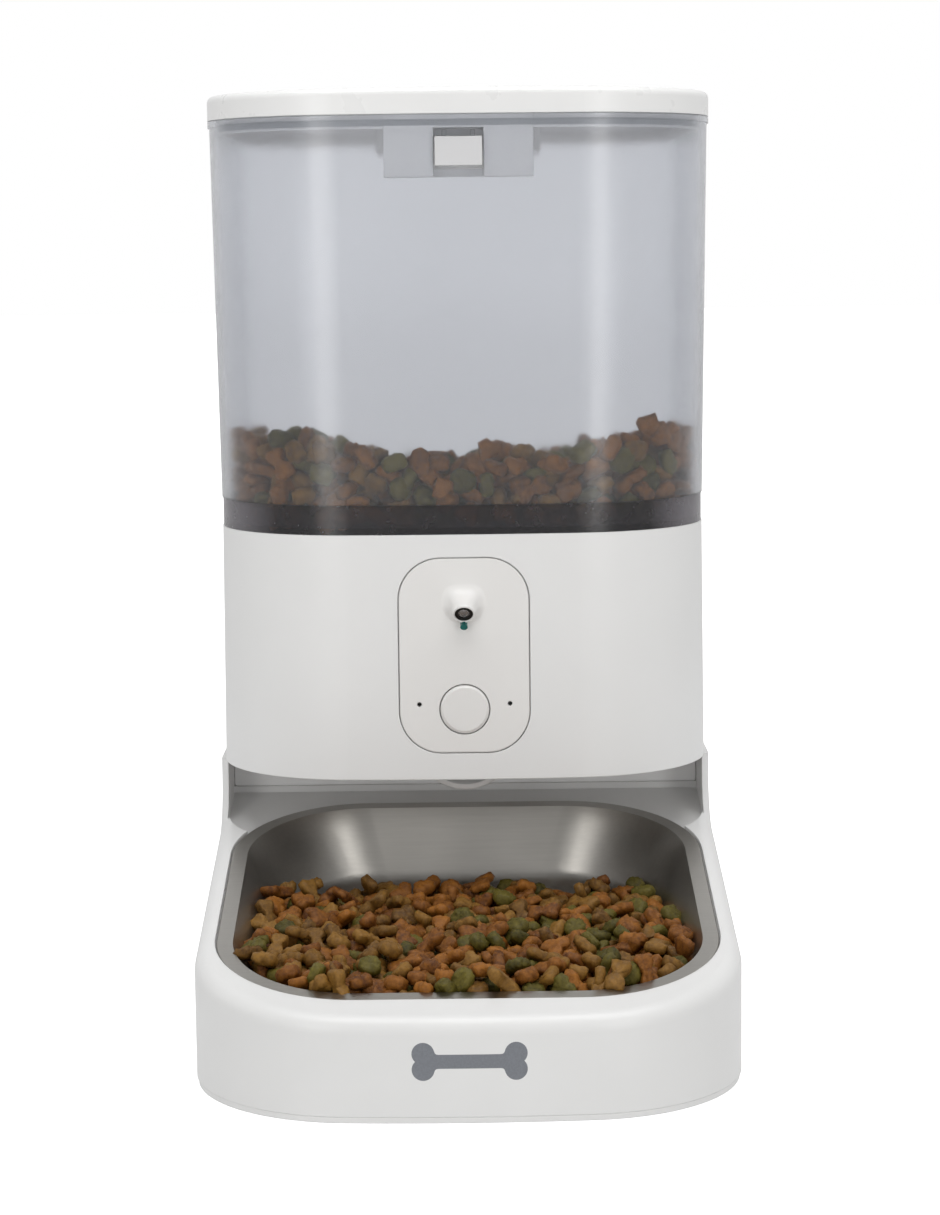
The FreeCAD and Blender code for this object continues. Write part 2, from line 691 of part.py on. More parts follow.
def make_front_panel():
    slab = common(
        "panel_slab",
        body_skin("panel_skin", "panel_thick"),
        front_prism("panel_prism", "panel_width", "panel_height", "panel_corner"),
    )
    holes = [
        front_pin("panel_button_hole", "button_radius + button_gap", "0", "button_z"),
        lens_pin("panel_camera_hole", "3.6", "-14", "15"),
        front_pin("panel_mic_left", "0.85", "-mic_x", "mic_z"),
        front_pin("panel_mic_right", "0.85", "mic_x", "mic_z"),
    ]
    return node(cut("front_panel_cut", slab, *holes), "front_panel")


def make_camera():
    hood = doc.addObject("PartDesign::Body", "hood_body")
    root = sketch(hood, "hood_root", "XZ_Plane", y="158", lift="23.4")
    nose = sketch(hood, "hood_nose", "XZ_Plane", y="160.4", lift="31.4")
    made = loft(hood, [round_rect(root, "18.5", "17.6", "5"), round_rect(nose, "11.4", "3.4", "1.6")], "hood_loft")
    round_edges(hood, made, lambda p, e: p.y < -31.3, "0.7", "hood_edge")
    behind = front_prism("hood_behind", "60", "90", "20")
    inner_skin = body_skin("hood_skin", "panel_thick + 6")
    bore = lens_pin("hood_bore", "3.35", "-14", "20")
    light = {"x": "0", "y": "-25.4", "z": "152.0", "axis": (1, 0, 0), "angle": "90 + lens_tilt"}
    light_bore = cylinder("light_bore", "1.45", "9", **light)
    node(cut("camera_hood_cut", hood, common("hood_overlap", behind, inner_skin), bore, light_bore), "camera_hood")
    node(cylinder("indicator_pin", "1.4", "3", **light), "indicator_light")
    node(cut("camera_ring_cut", lens_pin("ring_rim", "3.3", "-1.4", "2"), lens_pin("ring_hole", "2.3", "-2", "4")),
         "camera_ring")
    dome = doc.addObject("Part::Sphere", "lens_ball")
    bind(dome, Radius="4.2")
    place(dome, "0", "lens_y + 3.6 * cos(lens_tilt)", "lens_z + 3.6 * sin(lens_tilt)")
    node(common("camera_lens_glass", lens_pin("lens_barrel", "2.25", "-1.4", "3"), dome), "camera_lens")
    node(lens_pin("camera_module_barrel", "3.2", "-9.4", "8"), "camera_module")


def make_feed_button():
    body = new_body("feed_button")
    half = [("0", "0"), ("button_radius - 1", "0"), ("button_radius", "0.8"), ("button_radius", "3.6"),
            ("button_radius + 1.2", "3.6"), ("button_radius + 1.2", "4.6"), ("2", "4.6"), ("2", "6.2"), ("0", "6.2")]
    drawn = polygon(sketch(body, "button_profile"), [(x, f"{y} - 0.2") for x, y in half])
    revolve(body, drawn, "button_turned")
    place(body, "0", "body_front", "button_z")


def make_electronics():
    node(cut(
        "control_board_cut",
        box("control_plate", "42", "1.6", "50", "0", "-13.7", "102"),
        lens_pin("control_hole", "4.4", "-20", "19"),
    ), "control_board")
    node(box("switch_block", "6", "2.4", "6", "0", "-15.7", "button_z - 3"), "button_switch")
    seals = [front_pin(f"mic_seal_{i}", "2", f"{x} * mic_x", "mic_z", "20.6", "3.2") for i, x in enumerate((-1, 1))]
    node(group("mic_seals_group", *seals), "microphones")
    node(box("main_plate", "80", "1.6", "56", "0", "150", "flank_top + 2.5"), "main_board")
    node(cylinder("speaker_disc", "16", "6", "speaker_x", "speaker_y", "flank_top + 2.5"), "speaker")
    seat = doc.addObject("PartDesign::Body", "seat_body")
    plan = d_plan(
        sketch(seat, "seat_outline", lift="176"), "body_top_half - body_wall - 0.1",
        "body_top_front + body_wall + 0.1", "body_rear - body_wall - 0.1", "tower_corner - body_wall",
        "rear_corner - body_wall", "front_bow - body_wall")
    pad(seat, plan, "3")
    hole = sketch(seat, "seat_hole", y="rotor_y", lift="175")
    pocket(seat, circle(hole, "80"), "5", back=True)
    node(seat, "hopper_seat")


def make_power_inlet():
    socket = {"x": "jack_x", "z": "jack_z", "axis": (1, 0, 0), "angle": "90"}
    shell = cylinder("inlet_shell", "5", "13", y="base_rear", **socket)
    flange = cylinder("inlet_flange", "7", "1.5", y="base_rear - base_wall - 0.05", **socket)
    bore = cylinder("inlet_bore", "jack_bore", "jack_depth + 1", y="base_rear + 1", **socket)
    node(cut("power_inlet_cut", fuse("inlet_whole", shell, flange), bore), "power_inlet")


# ---------------------------------------------------------------------------------------------------------
# Portion drive: chute, gear case, gears, motor, rotor
# ---------------------------------------------------------------------------------------------------------

def chute_section(name, half, depth):
    """An upright U section at the chute's front end, as a loose sketch whose plane faces -Y."""
    drawn = doc.addObject("Sketcher::SketchObject", name)
    drawn.Placement = Placement(Vector(), Rotation(Vector(1, 0, 0), 90))
    bind(drawn, Placement__Base__y="chute_exit", Placement__Base__z=f"chute_low + {depth} + 19")
    return round_rect(drawn, f"2 * ({half})", "38", f"{half} - 0.05")


def slanted(name, drawn, length):
    """A loose sketch swept straight up the chute's slope."""
    slope = math.radians(value("chute_slope"))
    made = doc.addObject("Part::Extrusion", name)
    made.Base = drawn
    made.DirMode = "Custom"
    made.Dir = Vector(0, math.cos(slope), math.sin(slope))
    made.Solid = True
    bind(made, LengthFwd=length)
    return made


def make_chute():
    outer = slanted("chute_outside", chute_section("chute_outer", "chute_half + chute_wall", "0"), "60")
    inner = slanted("chute_hollow", chute_section("chute_inner", "chute_half", "chute_wall"), "70")
    inner.LengthRev = 10
    ceiling = box("chute_ceiling", "60", "120", "90", "0", "30", "chamber_floor - 0.5")
    node(cut("chute_cut", outer, inner, ceiling), "chute")
    sensors = [
        box(f"fall_sensor_{i}", "4", "7", "8", f"{x} * (chute_half + chute_wall + 2)", "20", "110")
        for i, x in enumerate((-1, 1))
    ]
    node(group("fall_sensors_group", *sensors), "fall_sensors")


PRESSURE_ANGLE = 22.5
BACKLASH = 0.3
CASE = {"x": "0", "y": "85", "length": "36", "width": "72"}


def make_gear_case():
    low = "flank_top + 2.5"
    whole = box("case_block", CASE["length"], CASE["width"], "17.5", CASE["x"], CASE["y"], low)
    inside = box("case_inside", "32", "68", "20", "0", "85", f"{low} + 2")
    shaft_bore = cylinder("case_shaft_bore", "shaft_radius + 0.06", "10", "0", "rotor_y", f"{low} - 1")
    motor_bore = cylinder("case_motor_bore", "3", "10", "0", "motor_y", f"{low} - 1")
    axle_bore = cylinder("case_axle_bore", "axle_radius", "10", "0", "idler_y", f"{low} - 1")
    node(cut("gear_case_cut", whole, inside, shaft_bore, motor_bore, axle_bore), "gear_case")
    cover = box("cover_plate", CASE["length"], CASE["width"], "2", CASE["x"], CASE["y"], f"{low} + 17.5")
    cover_bore = cylinder("cover_shaft_bore", "shaft_radius + 0.06", "10", "0", "rotor_y", f"{low} + 12")
    node(cut("gear_cover_cut", cover, cover_bore), "gear_cover")
    node(cylinder("idler_axle_pin", "axle_radius", "17.5", "0", "idler_y", low), "idler_axle")
    can = cylinder("motor_can", "motor_radius", "30", "0", "motor_y", "flank_top - 28")
    nose = cylinder("motor_nose", "3.9", "0.5", "0", "motor_y", "flank_top + 2")
    bore = cylinder("motor_bore", "1.06", "8", "0", "motor_y", "flank_top - 2")
    node(cut("motor_cut", fuse("motor_whole", can, nose), bore), "motor")


def gear(label, teeth, y, bore, phase="0"):
    """A spur gear with stub involute teeth: a root disc, one tooth and a polar pattern."""
    body = doc.addObject("PartDesign::Body", label + "_body")
    module, count = value("gear_module"), value(teeth)
    pitch = module * count / 2
    base = pitch * math.cos(math.radians(PRESSURE_ANGLE))
    root, tip = pitch - 1.15 * module, pitch + 0.8 * module
    half_tooth = (math.pi * module / 2 - BACKLASH) / (2 * pitch)

    def half_angle(radius):
        if radius <= base:
            return half_angle(base * 1.0001)
        turn = math.acos(base / radius)
        nominal = math.radians(PRESSURE_ANGLE)
        return half_tooth + (math.tan(nominal) - nominal) - (math.tan(turn) - turn)

    pad(body, circle(sketch(body, label + "_disc", lift="gear_low"), f"{root:.4f}"), "gear_face")
    radii = [root - 0.3] + [root + (tip - root) * k / 4 for k in range(5)]
    right = [(r * math.sin(half_angle(r)), r * math.cos(half_angle(r))) for r in radii]
    outline = right + [(-x, y) for x, y in reversed(right)]
    drawn = polygon(sketch(body, label + "_tooth", lift="gear_low"), [(f"{x:.4f}", f"{y:.4f}") for x, y in outline])
    polar(body, pad(body, drawn, "gear_face"), teeth, label + "_teeth")
    if bore is not None:
        pocket(body, circle(sketch(body, label + "_bore", lift="gear_low - 1"), bore), "gear_face + 2", back=True)
    return place(body, "0", y, "0", (0, 0, 1), phase)


def make_gears():
    drum = gear("output_gear", "drum_teeth", "rotor_y", None)
    shaft = cylinder("shaft_rod", "shaft_radius", "29", "0", "rotor_y", "flank_top + 3.5")
    dog = box("shaft_dog", "6", "6", "13", "0", "rotor_y", "flank_top + 32")
    node(fuse("output_gear_all", drum, shaft, dog), "output_gear")
    node(gear("idler", "idler_teeth", "idler_y", "axle_radius + 0.05", "180 / idler_teeth"), "idler_gear")
    pinion = gear("pinion", "pinion_teeth", "motor_y", None)
    rod = cylinder("pinion_shaft", "1", "19", "0", "motor_y", "flank_top - 1.5")
    node(fuse("motor_pinion_all", pinion, rod), "motor_pinion")


def make_rotor():
    body = doc.addObject("PartDesign::Body", "rotor_body")
    hub = pad(body, circle(sketch(body, "hub", lift="rotor_low"), "9"), "rotor_high - rotor_low + 4")
    round_edges(body, hub, lambda p, e: p.z > value("rotor_high") + 3.9, "3.5", "hub_dome")
    vane = sketch(body, "vane", y="(chamber_radius - 4) / 2 + 4", lift="rotor_low")
    one = pad(body, round_rect(vane, "2.6", "chamber_radius - 4 - 8", "0.4"), "rotor_high - rotor_low")
    polar(body, one, "vane_count", "vanes")
    socket = sketch(body, "socket", lift="rotor_low - 1")
    pocket(body, round_rect(socket, "6.4", "6.4", "0.3"), "9", back=True)
    node(place(body, "0", "rotor_y"), "rotor")
    wiper = doc.addObject("PartDesign::Body", "wiper_body")
    strip = sketch(wiper, "wiper", y="chamber_radius - 2.25", lift="rotor_low")
    first = pad(wiper, round_rect(strip, "2", "3.5", "0.5"), "rotor_high - rotor_low")
    polar(wiper, first, "vane_count", "wipers")
    node(place(wiper, "0", "rotor_y"), "rotor_wipers")


# ---------------------------------------------------------------------------------------------------------
# Tank: smoked hopper base, frosted shell, latch button, lid
# ---------------------------------------------------------------------------------------------------------

def make_hopper_base():
    body = new_body("hopper_base")

    def band(name, lift, inset="0"):
        return d_plan(
            sketch(body, name, lift=lift), f"band_half - ({inset})", f"band_front + ({inset})",
            f"band_rear - ({inset})", f"tower_corner - ({inset})", f"rear_corner - ({inset})",
            f"front_bow - ({inset})")

    pad(body, band("band_outline", "body_top"), "band_top - body_top")
    inside = band("band_inside", "body_top + funnel_wall", "funnel_wall")
    pocket(body, inside, "band_top - body_top", back=True)
    mouth = sketch(body, "funnel_mouth_hole", y="rotor_y", lift="body_top - 1")
    pocket(body, circle(mouth, "funnel_mouth"), "funnel_wall + 2", back=True)
    profile = [
        ("funnel_mouth", "body_top + funnel_wall"),
        ("chamber_radius", "funnel_bottom"),
        ("chamber_radius", "chamber_floor + funnel_wall"),
        ("shaft_radius + 2.2", "chamber_floor + funnel_wall"),
        ("shaft_radius + 2.2", "chamber_floor"),
        ("chamber_radius + funnel_wall", "chamber_floor"),
        ("chamber_radius + funnel_wall", "funnel_bottom - 1"),
        ("funnel_mouth + 3", "body_top"),
        ("funnel_mouth + 3", "body_top + funnel_wall"),
    ]
    revolve(body, polygon(sketch(body, "funnel_profile", "XZ_Plane", lift="-rotor_y"), profile), "funnel")
    outlet = sketch(body, "outlet", y="38", lift="chamber_floor - 1")
    pocket(body, round_rect(outlet, "32", "18", "4"), "funnel_wall + 2", back=True)


def make_rotor_cover():
    body = new_body("rotor_cover")
    pad(body, circle(sketch(body, "cover_disc"), "chamber_radius"), "2")
    keep_rear = sketch(body, "cover_opening", y="chamber_radius / 2 - 3.5", lift="-1")
    pocket(body, round_rect(keep_rear, "3 * chamber_radius", "chamber_radius + 14", "1"), "4", back=True)
    place(body, "0", "rotor_y", "rotor_high + 1.5")


def tank_plan(body, name, level, lift, inset="0"):
    """The tank's plan at its foot, under its rim or at the rim, drawn in by an inset."""
    half, front, rear = {
        "foot": ("tank_half", "tank_front", "tank_rear"),
        "neck": ("lid_half - 0.6", "lid_front + 0.6", "lid_rear - 0.6"),
        "rim": ("lid_half", "lid_front", "lid_rear"),
    }[level]
    return d_plan(
        sketch(body, name, lift=lift), f"{half} - ({inset})", f"{front} + ({inset})", f"{rear} - ({inset})",
        f"tower_corner - ({inset})", f"rear_corner - ({inset})", f"front_bow - ({inset})")


def make_tank_shell():
    body = new_body("tank_shell")
    loft(body, [tank_plan(body, "foot_out", "foot", "band_top"), tank_plan(body, "neck_out", "neck", "tank_top")],
         "tank_outside")
    pad(body, tank_plan(body, "rim_out", "rim", "tank_top"), "rim_top - tank_top")
    loft(body, [
        tank_plan(body, "foot_in", "foot", "band_top", "tank_wall"),
        tank_plan(body, "rim_in", "neck", "rim_top", "tank_wall"),
    ], "tank_inside", add=False)
    window = sketch(body, "latch_window", "XZ_Plane", y="(tab_low - 1.3 + tab_high + 0.3) / 2", lift="-lid_front + 5")
    pocket(body, round_rect(window, "2 * (tab_half + tab_gap)", "tab_high - tab_low + 1.6", "0.5"), "9")
    for side in (-1, 1):
        ear = sketch(body, f"ear_{side + 1}", x=f"{side} * ear_x", y="pivot_y", lift="pivot_z - 2")
        pad(body, round_rect(ear, "1.6", "2.8", "0.3"), "6")
        arm = sketch(body, f"ear_arm_{side + 1}", x=f"{side} * ear_x", y="pivot_y - 1.2", lift="tab_high + 0.4")
        pad(body, round_rect(arm, "1.6", "4", "0.3"), "2")
        bored = sketch(body, f"ear_bore_{side + 1}", "YZ_Plane", x="pivot_y", y="pivot_z", lift=f"{side} * ear_x - 2")
        pocket(body, circle(bored, "0.8"), "4", back=True)


def make_latch():
    pivot = {"y": "pivot_y", "z": "pivot_z", "axis": (0, 1, 0), "angle": "90"}
    node(cylinder("latch_pin_rod", "0.8", "2 * (ear_x + 1)", "-(ear_x + 1)", **pivot), "latch_pin")
    plate = box("tab_plate", "2 * tab_half", "2.2", "tab_high - tab_low", "0", "-24.1", "tab_low")
    web = box("tab_web", "2 * (ear_x - 1.1)", "3", "3", "0", "-22.3", "pivot_z - 1.5")
    barrel = cylinder("tab_barrel", "1.6", "2 * (ear_x - 1.1)", "-(ear_x - 1.1)", **pivot)
    bore = cylinder("tab_bore", "0.85", "2 * ear_x", "-ear_x", **pivot)
    node(cut("latch_button_cut", fuse("latch_button_whole", plate, web, barrel), bore), "latch_button")
    node(cut("latch_block_cut", latch_space("block"), *latch_pockets()), "latch_block")


def latch_space(name):
    """The room that the latch block takes: a slab that follows the inside of the tank's front wall."""
    body = doc.addObject("PartDesign::Body", name + "_slab")
    follow = tank_plan(body, name + "_plan", "neck", "latch_low", "tank_wall + 0.65")
    pad(body, follow, "lid_bottom + 1.7 - latch_low")
    return common(name + "_space", body, box(name + "_box", "2 * latch_half", "20", "40", "0", "-19", "latch_low - 5"))


def latch_pockets():
    """Hollows of the latch block: two side cells behind its face, and the notch that clears the button."""
    notch_half = "(tab_half + tab_gap)"
    notch = box("block_notch", f"2 * {notch_half}", "12", "20.7", "0", "-18.4", "latch_low - 3")
    cell_width = f"(latch_half - {notch_half} - 3.6)"
    cells = [
        box(f"block_cell_{i}", cell_width, "7.5", "17", f"{x} * ({notch_half} + 1.8 + {cell_width} / 2)", "-15",
            "latch_low - 3")
        for i, x in enumerate((-1, 1))
    ]
    return [notch, *cells]


def lid_plan(body, name, lift, inset):
    """The lid's plan, drawn in by an inset."""
    return tank_plan(body, name, "rim", lift, inset)


def runs_flat(edge):
    """True for an edge that doesn't run up and down."""
    return edge.BoundBox.ZLength < 4 and edge.Length > 5


def make_lid():
    outside = doc.addObject("PartDesign::Body", "lid_outside")
    pad(outside, lid_plan(outside, "lid_outline", "lid_bottom", "0"), "lid_top - lid_bottom")
    dome = doc.addObject("Part::Sphere", "lid_dome")
    bind(dome, Radius="lid_crown")
    place(dome, "0", "rotor_y", "lid_top - lid_crown")
    domed = common("lid_domed", outside, dome)
    doc.recompute()
    rounded = doc.addObject("Part::Fillet", "lid_rounded")
    rounded.Base = domed
    top = [i for i, edge in enumerate(domed.Shape.Edges, 1) if edge.BoundBox.ZMin > value("lid_bottom") + 2]
    rounded.Edges = [(i, value("lid_round"), value("lid_round")) for i in top if runs_flat(domed.Shape.Edges[i - 1])]
    inside = doc.addObject("PartDesign::Body", "lid_inside")
    pad(inside, lid_plan(inside, "lid_hollow", "lid_bottom - 1", "lid_wall"), "lid_top - lid_bottom")
    under = doc.addObject("Part::Sphere", "lid_under_dome")
    bind(under, Radius="lid_crown")
    place(under, "0", "rotor_y", "lid_top - lid_crown - lid_wall")
    node(cut("lid_cover_cut", rounded, common("lid_hollow_domed", inside, under)), "lid_cover")

    liner = doc.addObject("PartDesign::Body", "liner_body")
    pad(liner, lid_plan(liner, "liner_flange", "rim_top", "lid_wall + 0.1"), "2")
    skirt = tank_plan(liner, "liner_skirt", "neck", "334", "tank_wall + 1.2")
    pad(liner, skirt, "5.5")
    hollow = tank_plan(liner, "liner_hollow", "neck", "333", "tank_wall + 3.2")
    pocket(liner, hollow, "6", back=True)
    node(cut("lid_liner_cut", liner, latch_space("liner_notch")), "lid_liner")

    seal = doc.addObject("PartDesign::Body", "seal_ring")
    pad(seal, tank_plan(seal, "seal_out", "neck", "335", "tank_wall + 0.5"), "2.4")
    pocket(seal, tank_plan(seal, "seal_in", "neck", "334", "tank_wall + 1.2"), "5", back=True)
    node(cut("lid_seal_cut", seal, latch_space("seal_notch")), "lid_seal")


def make_desiccant():
    outer = box("desiccant_outer", "64", "46", "10", "0", "rotor_y", "329")
    inner = box("desiccant_inner", "60", "42", "12", "0", "rotor_y", "328")
    node(cut("desiccant_box_cut", outer, inner), "desiccant_box")
    slots = [box(f"vent_{k}", "2", "30", "4", f"{6 * (k - 4)}", "rotor_y", "326") for k in range(9)]
    plate = box("desiccant_plate", "64", "46", "1.6", "0", "rotor_y", "327.4")
    node(cut("desiccant_cover_cut", plate, *slots), "desiccant_cover")
    node(box("desiccant_sachet", "58", "40", "8", "0", "rotor_y", "330.5"), "desiccant_pack")


make_base_shell()
make_bottom_plate()
make_feet()
make_base_screws()
make_neck_panel()
make_bowl()
make_body_shell()
make_front_panel()
make_camera()
make_feed_button()
make_electronics()
make_power_inlet()
make_chute()
make_gear_case()
make_gears()
make_rotor()
make_hopper_base()
make_rotor_cover()
make_tank_shell()
make_latch()
make_lid()
make_desiccant()


# ---------------------------------------------------------------------------------------------------------
# Check and write
# ---------------------------------------------------------------------------------------------------------

doc.recompute()
for thing in doc.Objects:
    if {"Invalid", "Error"} & set(thing.State):
        raise RuntimeError(f"{thing.Label} did not compute: {thing.State}")
os.makedirs("parts", exist_ok=True)
for part in NODES:
    if part.Shape.isNull() or not part.Shape.isValid():
        raise RuntimeError(f"{part.Label} has no valid shape")
    part.Shape.exportStep(f"parts/{part.Label}.step")
    print(f"{part.Label}: {len(part.Shape.Solids)} solid(s), {part.Shape.Volume / 1000:.2f} cm3")
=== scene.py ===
"""Looks of the automatic pet feeder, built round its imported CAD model. Lengths are in metres."""
import json
import math

import bpy
import numpy as np
from mathutils import Matrix, Vector
from mathutils.bvhtree import BVHTree


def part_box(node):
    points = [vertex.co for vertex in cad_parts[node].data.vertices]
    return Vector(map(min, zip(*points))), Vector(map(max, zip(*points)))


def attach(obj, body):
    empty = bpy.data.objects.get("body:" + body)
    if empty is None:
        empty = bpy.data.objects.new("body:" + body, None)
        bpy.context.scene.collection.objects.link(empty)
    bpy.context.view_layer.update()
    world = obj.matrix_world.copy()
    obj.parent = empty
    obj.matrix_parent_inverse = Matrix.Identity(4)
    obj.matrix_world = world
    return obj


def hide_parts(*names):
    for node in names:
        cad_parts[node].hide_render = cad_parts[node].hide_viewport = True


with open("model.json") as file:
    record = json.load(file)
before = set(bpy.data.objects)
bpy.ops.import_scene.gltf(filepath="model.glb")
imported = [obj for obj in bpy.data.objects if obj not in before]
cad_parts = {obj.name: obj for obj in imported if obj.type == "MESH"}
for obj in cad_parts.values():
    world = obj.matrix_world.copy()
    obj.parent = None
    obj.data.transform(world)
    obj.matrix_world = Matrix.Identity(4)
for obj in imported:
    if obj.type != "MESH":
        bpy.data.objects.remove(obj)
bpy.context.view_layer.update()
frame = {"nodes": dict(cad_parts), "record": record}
nodes = frame["nodes"]
scene = bpy.context.scene

# ---------------------------------------------------------------------------------------------------------
# Materials
# ---------------------------------------------------------------------------------------------------------


class Look:
    """A principled material whose detail comes from noise in the object's own coordinates."""

    def __init__(self, name, color, roughness, **sockets):
        self.material = bpy.data.materials.new(name)
        self.material.use_nodes = True
        self.tree = self.material.node_tree
        self.shader = self.tree.nodes["Principled BSDF"]
        self.place = self.tree.nodes.new("ShaderNodeTexCoord").outputs["Object"]
        self.shader.inputs["Base Color"].default_value = (*color, 1)
        self.shader.inputs["Roughness"].default_value = roughness
        for key, value in sockets.items():
            self.shader.inputs[key.replace("_", " ")].default_value = value

    def add(self, kind, **inputs):
        made = self.tree.nodes.new("ShaderNode" + kind)
        for key, value in inputs.items():
            socket = made.inputs[key.replace("_", " ")]
            if isinstance(value, bpy.types.NodeSocket):
                self.tree.links.new(value, socket)
            else:
                socket.default_value = value
        return made

    def math(self, operation, *values):
        """A math node over sockets and numbers."""
        made = self.tree.nodes.new("ShaderNodeMath")
        made.operation = operation
        for socket, value in zip(made.inputs, values):
            if isinstance(value, bpy.types.NodeSocket):
                self.tree.links.new(value, socket)
            else:
                socket.default_value = value
        return made.outputs[0]

    def noise(self, scale, detail=2.0, stretch=(1, 1, 1), rough=0.5):
        """Noise with so many cells a metre."""
        where = self.add("Mapping", Vector=self.place, Scale=stretch).outputs[0]
        return self.add("TexNoise", Vector=where, Scale=scale, Detail=detail, Roughness=rough).outputs["Fac"]

    def tones(self, factor, *stops, socket="Base Color"):
        """Colour the surface by a factor; each stop is a place and a colour."""
        ramp = self.add("ValToRGB", Fac=factor)
        while len(ramp.color_ramp.elements) < len(stops):
            ramp.color_ramp.elements.new(0.5)
        for element, (where, color) in zip(ramp.color_ramp.elements, stops):
            element.position = where
            element.color = (*color, 1)
        if socket:
            self.tree.links.new(ramp.outputs[0], self.shader.inputs[socket])
        return ramp.outputs[0]

    def spread(self, factor, low, high, socket="Roughness", start=0.3, end=0.7):
        """Drive a socket between two values by a factor."""
        made = self.add("MapRange", Value=factor, From_Min=start, From_Max=end, To_Min=low, To_Max=high)
        if socket:
            self.tree.links.new(made.outputs[0], self.shader.inputs[socket])
        return made.outputs[0]

    def soften(self, radius):
        """Shade the edges as if rounded by a radius."""
        made = self.tree.nodes.new("ShaderNodeBevel")
        made.samples = 4
        made.inputs["Radius"].default_value = radius
        self.tree.links.new(made.outputs[0], self.shader.inputs["Normal"])

    def bump(self, height, distance, strength=1.0):
        """Bump the surface by a height; calls add up."""
        made = self.add("Bump", Height=height, Distance=distance, Strength=strength)
        before = self.shader.inputs["Normal"].links
        if before:
            self.tree.links.new(before[0].from_socket, made.inputs["Normal"])
        self.tree.links.new(made.outputs[0], self.shader.inputs["Normal"])
        return self


def moulded(name, color, roughness=0.38, grain=2600, depth=0.00003, shade=0.97, edge=0, **sockets):
    """Moulded plastic: faint colour drift, uneven gloss, a fine satin grain and perhaps softened edges."""
    look = Look(name, color, roughness, **sockets)
    if edge:
        look.soften(edge)
    drift = look.noise(22, 3)
    look.tones(drift, (0.3, tuple(c * shade for c in color)), (0.7, color))
    look.spread(look.noise(90, 4), roughness - 0.05, roughness + 0.06)
    look.bump(look.noise(grain, 1), depth, 0.2)
    look.bump(look.noise(14, 2), 0.0004, 0.12)
    return look


MARK_HEIGHT = 0.0225
MARK_FRONT = -0.15
KNOB_ALONG = 0.0155
KNOB_UP = 0.0027
KNOB_RADIUS = 0.0038
BAR_HALF = 0.0024
KNOB_BLEND = 0.002


def emblem(look, ink):
    """A plain bone pictogram printed low on the middle of the front."""
    split = look.add("SeparateXYZ", Vector=look.place)
    along = look.math("ABSOLUTE", split.outputs["X"])
    up = look.math("ABSOLUTE", look.math("SUBTRACT", split.outputs["Z"], MARK_HEIGHT))
    past_knob = look.math("SUBTRACT", along, KNOB_ALONG)
    over_knob = look.math("SUBTRACT", up, KNOB_UP)
    squares = look.math("ADD", look.math("POWER", past_knob, 2.0), look.math("POWER", over_knob, 2.0))
    knob = look.math("SUBTRACT", look.math("SQRT", squares), KNOB_RADIUS)
    bar = look.math("MAXIMUM", past_knob, look.math("SUBTRACT", up, BAR_HALF))
    shape = look.math("SMOOTH_MIN", knob, bar, KNOB_BLEND)
    in_front = look.math("LESS_THAN", split.outputs["Y"], MARK_FRONT)
    printed = look.math("MULTIPLY", look.math("LESS_THAN", shape, 0.0), in_front)
    inks = look.tones(look.noise(1500, 2), (0.3, ink), (0.7, tuple(c * 1.15 for c in ink)), socket=None)
    mixed = look.tree.nodes.new("ShaderNodeMix")
    mixed.data_type = "RGBA"
    look.tree.links.new(printed, mixed.inputs["Factor"])
    look.tree.links.new(look.shader.inputs["Base Color"].links[0].from_socket, mixed.inputs["A"])
    look.tree.links.new(inks, mixed.inputs["B"])
    look.tree.links.new(mixed.outputs["Result"], look.shader.inputs["Base Color"])
    return look


def frosted():
    """Frosted translucent wall: sharp just behind it and blurred further back."""
    color = (0.93, 0.938, 0.955)
    look = Look("frosted_plastic", color, 0.16, Transmission_Weight=0.985, IOR=1.25,
                Coat_Weight=0.6, Coat_Roughness=0.3, Coat_Tint=(0.96, 0.965, 0.98, 1))
    look.tones(look.noise(14, 3), (0.3, tuple(c * 0.98 for c in color)), (0.7, color))
    look.spread(look.noise(120, 3), 0.14, 0.18)
    look.bump(look.noise(60, 2), 0.0001, 0.08)
    return look


def smoked():
    """Smoked band: dark and clear in front, and made less clear toward its ends, a painted sheen standing in
    for the milky reflection where they turn away.
    """
    color = (0.30, 0.28, 0.31)
    look = Look("smoked_plastic", color, 0.25, IOR=1.45)
    split = look.add("SeparateXYZ", Vector=look.place)
    away = look.math("ABSOLUTE", split.outputs["X"])
    # painted sheen: the band is made less clear toward its ends by place alone, for the reflection where
    # they turn away
    look.spread(away, 0.95, 0.60, socket="Transmission Weight", start=0.070, end=0.084)
    look.tones(look.noise(30, 2), (0.3, tuple(c * 0.9 for c in color)), (0.7, color))
    look.spread(look.noise(200, 3), 0.22, 0.28)
    look.bump(look.noise(60, 2), 0.0002, 0.15)
    return look


def steel(name, color, roughness, scratches):
    """Brushed stainless steel: fine streaks one way, and faint smears."""
    look = Look(name, color, roughness, Metallic=1.0, Anisotropic=0.5)
    streaks = look.noise(scratches, 4, stretch=(0.04, 1, 1), rough=0.7)
    look.tones(streaks, (0.25, tuple(c * 0.9 for c in color)), (0.75, color))
    look.spread(look.noise(35, 2), roughness - 0.02, roughness + 0.03)
    look.bump(streaks, 0.00002, 0.25)
    return look


def kibble_look(name, dark, light, seed):
    """Baked dry food: mottled, a little greasy and finely pitted."""
    look = Look(name, light, 0.6, Coat_Weight=0.03, Coat_Roughness=0.4, Specular_IOR_Level=0.25)
    mottled = look.noise(430 + seed, 5, rough=0.7)
    island = look.add("NewGeometry").outputs["Random Per Island"]
    shade = look.math("MULTIPLY_ADD", island, 0.30, mottled)
    middle = tuple((a + b) / 2 for a, b in zip(dark, light))
    look.tones(shade, (0.38, dark), (0.60, middle), (0.86, light))
    look.spread(look.noise(700, 3), 0.42, 0.66)
    look.bump(look.noise(1500, 4, rough=0.65), 0.0004, 0.6)
    look.bump(look.noise(350, 3), 0.0009, 0.5)
    return look


